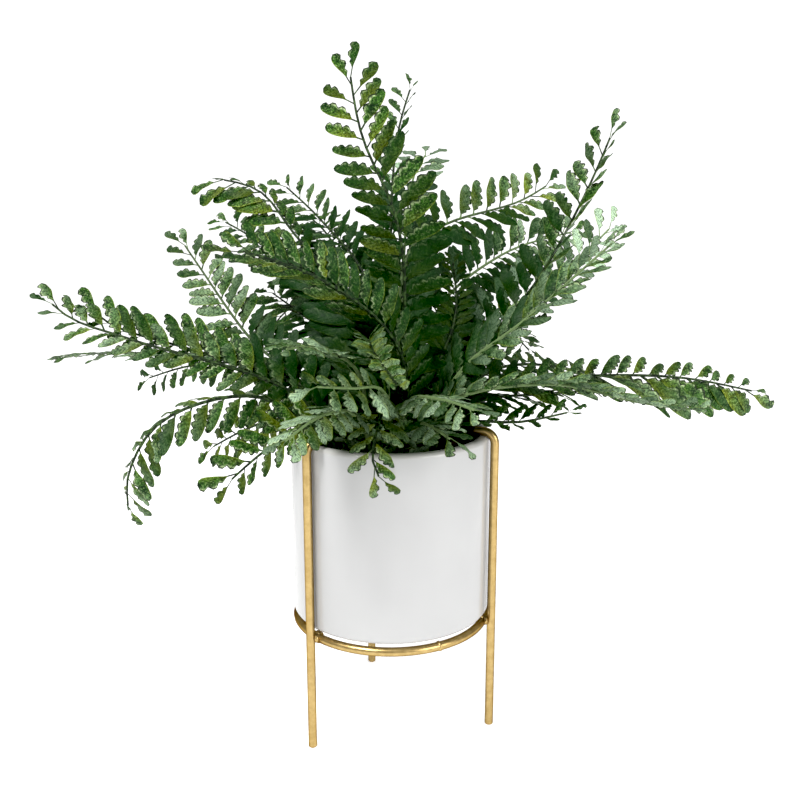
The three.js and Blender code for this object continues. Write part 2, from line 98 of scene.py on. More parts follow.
# %% [markdown]
# ## Shader maths that reads like Python
#
# A material in Blender is a net of nodes, and even `1 - a * b` takes two Math nodes. The class
# below wraps the output of a node. Its operators add the Math nodes by themselves, so that the
# materials further down can be read as formulas. Every other node comes from `node`, which
# takes its kind, its settings and what goes into its sockets.

# %% Wrap a node's output
class Shade:
    """The output of a node. Sums and products of shades add Math nodes to their tree."""

    def __init__(self, tree, socket=None):
        self.tree = tree
        self.socket = socket

    def node(self, kind, settings=None, sockets=None, output=0):
        """Adds a node to the tree and returns one of its outputs."""
        made = self.tree.nodes.new("ShaderNode" + kind)
        for name, value in (settings or {}).items():
            setattr(made, name, value)
        for name, value in (sockets or {}).items():
            if isinstance(value, Shade):
                self.tree.links.new(value.socket, made.inputs[name])
            else:
                made.inputs[name].default_value = value
        return Shade(self.tree, made.outputs[output])

    def maths(self, operation, *values, clamp=False):
        settings = {"operation": operation, "use_clamp": clamp}
        return self.node("Math", settings, dict(enumerate(values)))

    def __add__(self, other):
        return self.maths("ADD", self, other)

    def __sub__(self, other):
        return self.maths("SUBTRACT", self, other)

    def __rsub__(self, other):
        return self.maths("SUBTRACT", other, self)

    def __mul__(self, other):
        return self.maths("MULTIPLY", self, other)

    __radd__ = __add__
    __rmul__ = __mul__

    def __abs__(self):
        return self.maths("ABSOLUTE", self)

    def sine(self):
        return self.maths("SINE", self)

    def clamped(self):
        return self.maths("ADD", self, 0, clamp=True)

    def part(self, axis):
        """The X, Y or Z of this vector."""
        return self.node("SeparateXYZ", {}, {"Vector": self}, axis)

    def fade(self, low, high):
        """0 where this is below low, 1 above high, and a smooth change between them."""
        settings = {"interpolation_type": "SMOOTHSTEP"}
        return self.node("MapRange", settings, {"Value": self, "From Min": low, "From Max": high})

    def blend(self, first, second):
        """The first colour where this is 0, and the second where it is 1."""
        colours = {"Factor": self, 6: first, 7: second}
        return self.node("Mix", {"data_type": "RGBA"}, colours, output=2)

    def speckle(self, size, detail=2, roughness=0.5):
        """Noise from 0 to 1 on this shade's coordinates, with blotches of about that size."""
        sockets = {"Vector": self, "Scale": 1 / size, "Detail": detail, "Roughness": roughness}
        return self.node("TexNoise", {}, sockets)


def paint(red, green, blue):
    """A colour that is given from 0 to 255 as on a screen, as the shader wants it."""
    screen = Color((red / 255, green / 255, blue / 255))
    return (*screen.from_srgb_to_scene_linear(), 1)


# %% [markdown]
# A finish starts from Blender's Principled shader. What is the same all over the surface is
# set on the shader's own sockets. What changes from place to place is linked, and reads the
# piece's own coordinates, so that the pattern stays put when the view changes.

# %% Start and wire a finish
def start_finish(name, fixed):
    """A new material with its fixed settings, and the places on the piece as a shade."""
    finish = bpy.data.materials.new(name)
    finish.use_nodes = True
    shader = finish.node_tree.nodes["Principled BSDF"]
    for socket, value in fixed.items():
        shader.inputs[socket].default_value = value
    return finish, Shade(finish.node_tree).node("TexCoord", output="Object")


def wire_finish(finish, varying):
    """Links what changes over the surface to the shader."""
    shader = finish.node_tree.nodes["Principled BSDF"]
    for socket, shade in varying.items():
        finish.node_tree.links.new(shade.socket, shader.inputs[socket])
    print("finish:", finish.name, "with", len(finish.node_tree.nodes), "nodes")
    return finish


def bump(height, distance, strength=1.0):
    """A surface that stands this far above itself where height is 1."""
    sockets = {"Height": height, "Distance": distance, "Strength": strength}
    return height.node("Bump", {}, sockets)


# %% [markdown]
# ## Floor and light
#
# The photograph has a plain white ground and soft light from everywhere. A large pale floor
# gives that, together with a white sky. The floor also glows a little, so that it stays as
# white as the sky where they meet.

# %% Lay the floor
FLOOR_RADIUS = 8
FLOOR_GLOW = 0.55

floor_shape = bmesh.new()
bmesh.ops.create_circle(floor_shape, cap_ends=True, segments=64, radius=FLOOR_RADIUS)
floor_mesh = bpy.data.meshes.new("floor")
floor_shape.to_mesh(floor_mesh)
floor_shape.free()
floor = bpy.data.objects.new("floor", floor_mesh)
bpy.context.scene.collection.objects.link(floor)
floor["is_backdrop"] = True

pale_floor, place = start_finish("pale_floor", {
    "Roughness": 0.9, "Emission Color": (1, 1, 1, 1), "Emission Strength": FLOOR_GLOW})
paleness = place.speckle(0.8).blend(paint(240, 240, 239), paint(244, 244, 244))
floor_mesh.materials.append(wire_finish(pale_floor, {"Base Color": paleness}))

# %% [markdown]
# The sky is a Background node in the world. The camera sees it as plain white. What lights the
# plant is a softer sky, bright above and in front and dark behind the plant, because a rod or
# a leaflet that mirrors something dark at its edge looks round, and its colour stays deep. The
# blacks are pulled down a little too, as a photographer does it.

# %% Make the sky
BRIGHTER = {"up": 0.45, "left": 0.05, "front": 0.3}
MIDDLE_GLOW = 0.5
DARKEST, BRIGHTEST, SEEN = 0.06, 0.78, 1.2
BLACK_LEVEL = 0.008


def grey(level):
    return (level, level, level, 1)


world = bpy.data.worlds.new("sky")
bpy.context.scene.world = world
world.use_nodes = True
sky = Shade(world.node_tree)
direction = sky.node("TexCoord", output="Generated")
east, north, height = (direction.part(axis) for axis in "XYZ")
glow = (height * BRIGHTER["up"] - east * BRIGHTER["left"] - north * BRIGHTER["front"]
        + MIDDLE_GLOW).clamped()
to_camera = sky.node("LightPath", output="Is Camera Ray")
skylight = to_camera.blend(glow.blend(grey(DARKEST), grey(BRIGHTEST)), grey(SEEN))
background = world.node_tree.nodes["Background"]
world.node_tree.links.new(skylight.socket, background.inputs["Color"])
view = bpy.context.scene.view_settings
view.view_transform = "Standard"
view.use_curve_mapping = True
view.curve_mapping.black_level = (BLACK_LEVEL, BLACK_LEVEL, BLACK_LEVEL)
view.curve_mapping.update()
print("sky: white to the camera, softer on the plant")

# %% [markdown]
# Two area lights stand for the lamps of the studio. The key light hangs at the upper left in
# front. It is small enough to throw the leaflets' shadows on each other, which gives the plant
# its depth. The fill light stands lower, at the right in front. It is large, so that it throws
# soft shadows, and it lights the pot and the leaflets that hang towards the camera.

# %% Hang the lights
PLANT_MIDDLE = Vector((0, 0, 0.25))


def hang_light(name, place, size, power):
    """A square light of this size in metres and power in watts, turned to the plant."""
    light = bpy.data.lights.new(name, "AREA")
    light.size = size
    light.energy = power
    lamp = bpy.data.objects.new(name, light)
    lamp.location = place
    lamp.rotation_euler = (PLANT_MIDDLE - Vector(place)).to_track_quat("-Z", "Y").to_euler()
    bpy.context.scene.collection.objects.link(lamp)
    print("light:", name, power, "watts")


hang_light("key_light", place=(-0.7, -0.8, 1.7), size=0.4, power=36)
hang_light("fill_light", place=(1.3, -1.15, 0.8), size=1.0, power=22.5)

# %% [markdown]
# ## Sizes that the CAD model gives
#
# The boxes of the CAD nodes hold the driving sizes of the pot and the stand, so nothing is
# measured twice. Only the few sizes that a box can't show are written here. The bearings of
# the legs are in degrees round the pot's axis, from the X axis.

# %% Read the sizes of the pot and the stand
pot_low, pot_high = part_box("pot")
soil_low, soil_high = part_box("potting_soil")
ring_low, ring_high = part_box("stand_ring")
leg_tops = {name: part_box(name)[1].z for name in ("leg_left", "leg_right", "leg_back")}

POT_RADIUS = (pot_high.y - pot_low.y) / 2
POT_WALL = 8 * MM
POT_FLOOR = 9 * MM
EDGE_ROUND = 3 * MM
ROD_RADIUS = 3 * MM
RING_RADIUS = (ring_high.x - ring_low.x) / 2 - ROD_RADIUS
RING_HEIGHT = ring_low.z + ROD_RADIUS
SOIL_RADIUS = (soil_high.x - soil_low.x) / 2
LEG_BEARINGS = {"leg_left": -137.5, "leg_right": -17.5, "leg_back": 102.5}
LEG_CIRCLE = 74 * MM
print("pot", round(2 * POT_RADIUS / MM), "mm wide, rim at", round(pot_high.z / MM, 1), "mm")

# %% [markdown]
# A finished shape becomes an object in one step: the mesh is shaded smooth with its real edges
# kept, gets its finishes, rides on the one body of this part, and stands for its CAD node.
#
# The round pieces are turned as on a lathe. Half of the section is a line of corners, a bevel
# rounds the ones that are picked, and a spin takes the line once round the pot's axis.

# %% Turn a shape into a piece
SAME_PLACE = 0.01 * MM


def face_outwards(shape):
    """Merges the corners that share a place, and then turns all faces outwards."""
    bmesh.ops.remove_doubles(shape, verts=shape.verts, dist=SAME_PLACE)
    bmesh.ops.recalc_face_normals(shape, faces=shape.faces)


def make_piece(name, shape, finishes, nodes, sharp=40):
    """Edges of more than sharp degrees stay sharp."""
    mesh = bpy.data.meshes.new(name)
    shape.to_mesh(mesh)
    shape.free()
    mesh.shade_smooth()
    mesh.set_sharp_from_angle(angle=math.radians(sharp))
    for finish in finishes:
        mesh.materials.append(finish)
    piece = bpy.data.objects.new(name, mesh)
    bpy.context.scene.collection.objects.link(piece)
    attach(piece, "root")
    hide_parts(*nodes)
    print(f"{name}: {len(mesh.polygons)} faces")


def spun(corners, steps, rounded=()):
    """Spins a line of corners, given as (radius, height). rounded counts them from 0."""
    shape = bmesh.new()
    line = [shape.verts.new((radius, 0, height)) for radius, height in corners]
    for pair in zip(line, line[1:]):
        shape.edges.new(pair)
    if rounded:
        bmesh.ops.bevel(shape, geom=[line[i] for i in rounded], offset=EDGE_ROUND,
                        offset_type="OFFSET", segments=5, profile=0.5, affect="VERTICES",
                        material=-1)
    bmesh.ops.spin(shape, geom=shape.verts[:] + shape.edges[:], axis=UP, cent=(0, 0, 0),
                   angle=2 * math.pi, steps=steps, use_merge=True)
    face_outwards(shape)
    return shape


# %% [markdown]
# ## The pot
#
# The pot is thick glazed earthenware, turned on a wheel, so it is spun here too, with round
# edges at its rim and foot. The glaze is a smooth white gloss. Real glaze lies a little
# unevenly, which bends the reflections, and it is thinner and warmer along the rim.

# %% Glaze and pot
POT_STEPS = 128
WARM_RIM = (4 * MM, 1 * MM)
GLAZE = {"thin": paint(162, 162, 162), "thick": paint(170, 170, 170), "rim": paint(176, 174, 168)}


def white_glaze():
    finish, place = start_finish("white_glaze", {"Specular IOR Level": 0.5})
    flow = place.speckle(45 * MM)
    pits = place.speckle(1.5 * MM, detail=3)
    rim = place.part("Z").fade(*(pot_high.z - below for below in WARM_RIM))
    body = flow.blend(GLAZE["thin"], GLAZE["thick"])
    return wire_finish(finish, {
        "Base Color": (rim * 0.5).blend(body, GLAZE["rim"]),
        "Roughness": flow * 0.06 + pits * 0.04 + 0.12,
        "Normal": bump(flow + pits * 0.015, 1.2 * MM, 0.5),
    })


def make_pot():
    inside, floor_top = POT_RADIUS - POT_WALL, pot_low.z + POT_FLOOR
    corners = [(0, pot_low.z), (POT_RADIUS, pot_low.z), (POT_RADIUS, pot_high.z),
               (inside, pot_high.z), (inside, floor_top), (0, floor_top)]
    shape = spun(corners, POT_STEPS, rounded=(1, 2, 3))
    make_piece("glazed_pot", shape, [white_glaze()], ["pot"])


make_pot()

# %% [markdown]
# ## The gold stand
#
# Three legs and a ring are bent from the same round rod, welded together and painted gold.
# The paint is satin and slightly mottled, so its roughness and colour vary a little over a
# few millimetres. The ring is a circle that is spun round the pot's axis. It was closed with
# a weld, which shows as a small collar at the front.

# %% Gold paint
GOLD = {"dark": paint(158, 134, 86), "light": paint(180, 156, 106), "speck": paint(122, 96, 56)}


def gold_paint():
    finish, place = start_finish("gold_paint", {
        "Metallic": 1, "Specular Tint": paint(120, 96, 64)})
    mottle = place.speckle(5 * MM, detail=4, roughness=0.65)
    grain = place.speckle(0.8 * MM, detail=2)
    colour = mottle.fade(0.3, 0.75).blend(GOLD["dark"], GOLD["light"])
    return wire_finish(finish, {
        "Base Color": (grain.fade(0.6, 0.8) * 0.35).blend(colour, GOLD["speck"]),
        "Roughness": mottle * 0.15 + 0.24,
        "Normal": bump(mottle * 0.3 + grain * 0.5, 0.1 * MM, 0.5),
    })


gold = gold_paint()

# %% [markdown]
# The welds are lumps of melted rod. Each starts as a small ball that is stretched along the
# seam and pushed in and out with noise. A bead is placed from the middle of the rod, and has
# its half sizes across the rod, along it and upwards. At each leg one bead joins the ring to
# the leg, and one carries the pot, so its top ends just under the pot's foot.

# %% Ring with its welds
ROD_SIDES = 16
RING_STEPS = 128
SEAM_BEARING = -62
POT_CLEARANCE = 0.3 * MM
CARRYING_BEAD = dict(outside=-1 * MM, above=0, across=3.2 * MM, along=3.6 * MM)
JOINING_BEAD = dict(outside=3 * MM, above=0.5 * MM, across=2.6 * MM, along=4.6 * MM, up=3.4 * MM)
SEAM_BEAD = dict(outside=0, above=0, across=3.6 * MM, along=2 * MM, up=3.6 * MM)
LUMP_HEIGHT = 0.16
LUMPS_ACROSS = 1.7
HIGHEST_LUMP = 1.1
SEEDS = {"carrying": 0, "joining": 5, "seam": 9}


def weld_bead(shape, bearing, seed, outside, above, across, along, up):
    ball = bmesh.ops.create_icosphere(shape, subdivisions=2, radius=1)["verts"]
    for vert in ball:
        lump = noise.noise(vert.co * LUMPS_ACROSS + Vector((seed, 0, 0)))
        vert.co *= 1 + LUMP_HEIGHT * lump
    turn = Matrix.Rotation(math.radians(bearing), 4, "Z")
    shift = Matrix.Translation((RING_RADIUS + outside, 0, RING_HEIGHT + above))
    reach = Matrix.Diagonal((across, along, up, 1))
    bmesh.ops.transform(shape, matrix=turn @ shift @ reach, verts=ball)


def make_ring():
    shape = bmesh.new()
    lie = Matrix.Translation((RING_RADIUS, 0, RING_HEIGHT)) @ Matrix.Rotation(math.pi / 2, 4, "X")
    bmesh.ops.create_circle(shape, segments=ROD_SIDES, radius=ROD_RADIUS, matrix=lie)
    bmesh.ops.spin(shape, geom=shape.verts[:] + shape.edges[:], axis=UP, cent=(0, 0, 0),
                   angle=2 * math.pi, steps=RING_STEPS, use_merge=True)
    face_outwards(shape)
    carries = (pot_low.z - POT_CLEARANCE - RING_HEIGHT) / HIGHEST_LUMP
    for i, bearing in enumerate(LEG_BEARINGS.values()):
        weld_bead(shape, bearing, SEEDS["carrying"] + i, up=carries, **CARRYING_BEAD)
        weld_bead(shape, bearing, SEEDS["joining"] + i, **JOINING_BEAD)
    weld_bead(shape, SEAM_BEARING, SEEDS["seam"], **SEAM_BEAD)
    bmesh.ops.recalc_face_normals(shape, faces=shape.faces)
    make_piece("gold_ring", shape, [gold], ["stand_ring"])


make_ring()

# %% [markdown]
# Each leg is one length of rod. It starts as a disc at the foot, which is pulled up with an
# extrusion, taken round the bend with a spin, and pulled in over the rim. The two cut ends are
# then rounded off with a bevel. The extrusion is given the edges and corners of the disc as
# well as its face, because then it leaves no face behind inside the rod.

# %% Legs
HOOK_BEND = 8 * MM
HOOK_REACH = 15 * MM
END_ROUND = 1.2 * MM
LEG_PULLS = 4
BEND_STEPS = 8


def with_corners(face):
    return [face, *face.edges, *face.verts]


def pulled(shape, face, step):
    """Extrudes one face by a step and returns the face at the new end."""
    made = bmesh.ops.extrude_face_region(shape, geom=with_corners(face))["geom"]
    verts = [item for item in made if isinstance(item, bmesh.types.BMVert)]
    bmesh.ops.translate(shape, verts=verts, vec=step)
    return next(item for item in made if isinstance(item, bmesh.types.BMFace))


def make_leg(name, bearing):
    shape = bmesh.new()
    upright = leg_tops[name] - ROD_RADIUS - HOOK_BEND
    bmesh.ops.create_circle(shape, cap_ends=True, segments=ROD_SIDES, radius=ROD_RADIUS)
    end = shape.faces[:][0]
    for pull in range(LEG_PULLS):
        end = pulled(shape, end, (0, 0, upright / LEG_PULLS))
    bend = bmesh.ops.spin(shape, geom=with_corners(end), axis=(0, -1, 0),
                          cent=(-HOOK_BEND, 0, upright), angle=math.pi / 2, steps=BEND_STEPS)
    end = next(item for item in bend["geom_last"] if isinstance(item, bmesh.types.BMFace))
    pulled(shape, end, (HOOK_BEND - HOOK_REACH, 0, 0))
    face_outwards(shape)
    cuts = [face for face in shape.faces if len(face.verts) == ROD_SIDES]
    rims = [edge for cut in cuts for edge in cut.edges]
    bmesh.ops.bevel(shape, geom=rims, offset=END_ROUND, offset_type="OFFSET", segments=3,
                    profile=0.5, affect="EDGES", material=-1)
    place = Matrix.Rotation(math.radians(bearing), 4, "Z") @ Matrix.Translation((LEG_CIRCLE, 0, 0))
    bmesh.ops.transform(shape, matrix=place, verts=shape.verts)
    make_piece("gold_" + name, shape, [gold], [name])


for leg, bearing in LEG_BEARINGS.items():
    make_leg(leg, bearing)


# %% [markdown]
# ## The soil
#
# The soil fills the pot to a finger's width below the rim. Its top is a disc with many rings,
# pushed up and down by noise in two sizes. Loose crumbs are small balls, each squashed a
# little, that lie half sunk in it. It is nearly black and quite dull.

# %% Soil with its crumbs
SOIL = {"dark": paint(22, 16, 11), "light": paint(58, 43, 30), "fibre": paint(96, 76, 54)}
SOIL_RINGS = 22
SOIL_STEPS = 96
SOIL_LUMPS = {9 * MM: 2 * MM, 3 * MM: 1 * MM}
STILL_EDGE = 1 * MM
CRUMBS = 160
CRUMB_RADIUS = (0.9, 2.4)
CRUMB_SQUASH = (0.6, 1.2)
CRUMBS_REACH = 0.94


def dark_soil():
    finish, place = start_finish("dark_soil", {"Specular IOR Level": 0.2})
    lump = place.speckle(4 * MM, detail=5, roughness=0.7)
    fibre = place.speckle(0.9 * MM, detail=2)
    colour = lump.fade(0.35, 0.65).blend(SOIL["dark"], SOIL["light"])
    return wire_finish(finish, {
        "Base Color": (fibre.fade(0.6, 0.75) * 0.5).blend(colour, SOIL["fibre"]),
        "Roughness": lump * 0.1 + 0.85,
        "Normal": bump(lump + fibre * 0.4, 1.5 * MM),
    })


def make_soil():
    chance = random.Random("soil")
    rings = [SOIL_RADIUS * (1 - i / SOIL_RINGS) for i in range(SOIL_RINGS + 1)]
    corners = [(0, soil_low.z), (SOIL_RADIUS, soil_low.z), *((r, soil_high.z) for r in rings)]
    shape = spun(corners, SOIL_STEPS)
    top = [vert for vert in shape.verts if vert.co.z > soil_high.z - SAME_PLACE
           and vert.co.xy.length < SOIL_RADIUS - STILL_EDGE]
    for vert in top:
        for width, height in SOIL_LUMPS.items():
            vert.co.z += height * noise.noise(vert.co / width)
    for crumb in range(CRUMBS):
        radius = SOIL_RADIUS * CRUMBS_REACH * math.sqrt(chance.random())
        angle = chance.uniform(0, 2 * math.pi)
        size = chance.uniform(*CRUMB_RADIUS) * MM
        ball = bmesh.ops.create_icosphere(shape, subdivisions=1, radius=size)["verts"]
        squash = Matrix.Diagonal([chance.uniform(*CRUMB_SQUASH) for axis in "XYZ"] + [1])
        lie = Matrix.Translation((radius * math.cos(angle), radius * math.sin(angle), soil_high.z))
        bmesh.ops.transform(shape, matrix=lie @ squash, verts=ball)
    bmesh.ops.recalc_face_normals(shape, faces=shape.faces)
    make_piece("crumbly_soil", shape, [dark_soil()], ["potting_soil"])


make_soil()

# %% [markdown]
# ## How a frond is laid out
#
# A frond's stalk passes through four or five points: its foot in the soil, its shoulder, its
# bends and its tip. The line through them is a Catmull-Rom curve, which passes each point
# smoothly. The points are the same ones that the CAD model has, in millimetres, because each
# finer frond takes the place of a plain one.

# %% A smooth line through points
class SmoothLine:
    """A centripetal Catmull-Rom curve. It can be asked for the place at a share of its length."""

    SAMPLES = 60

    def __init__(self, points):
        ends = [2 * points[0] - points[1], *points, 2 * points[-1] - points[-2]]
        self.dots = [points[0]]
        for four in zip(ends, ends[1:], ends[2:], ends[3:]):
            self.dots += [self.between(four, i / self.SAMPLES) for i in range(1, self.SAMPLES + 1)]
        self.reached = [0.0]
        for last, dot in zip(self.dots, self.dots[1:]):
            self.reached.append(self.reached[-1] + (dot - last).length)
        self.length = self.reached[-1]

    @staticmethod
    def between(four, t):
        """The point at t from 0 to 1 between the middle two of four points."""
        a, b, c, d = four
        before, inside, after = (math.sqrt((q - p).length) for p, q in ((a, b), (b, c), (c, d)))
        leaving = ((b - a) / before - (c - a) / (before + inside) + (c - b) / inside) * inside
        arriving = ((c - b) / inside - (d - b) / (inside + after) + (d - c) / after) * inside
        return (b + leaving * t + (3 * (c - b) - 2 * leaving - arriving) * t ** 2
                + (2 * (b - c) + leaving + arriving) * t ** 3)

    def at(self, share):
        """The point at a share of the length, and the direction of the line there."""
        wanted = min(max(share, 0), 1) * self.length
        i = next((i for i, far in enumerate(self.reached[1:]) if far >= wanted),
                 len(self.dots) - 2)
        step = self.dots[i + 1] - self.dots[i]
        part = (wanted - self.reached[i]) / (self.reached[i + 1] - self.reached[i])
        return self.dots[i] + step * part, step.normalized()


# %% [markdown]
# The fronds, in the order in which they are made. `root` is where a stalk leaves the soil, and
# `way` holds the points that it passes then. `roll` turns the blade about the stalk. Of each
# pair of numbers the first is for the leaflets on the left of the stalk and the second for
# those on its right: `rise` lifts them, `fold` lifts those of the inner half further and
# `sweep` turns them forward, in degrees, and `size` is their scale. `tip_size` is how small
# they get at the tip, and `pitch` is the distance between two pairs in millimetres. `wax` is
# how pale and bluish a frond is, and `olive` how yellow: 0 is not at all, and 1 is a lot.

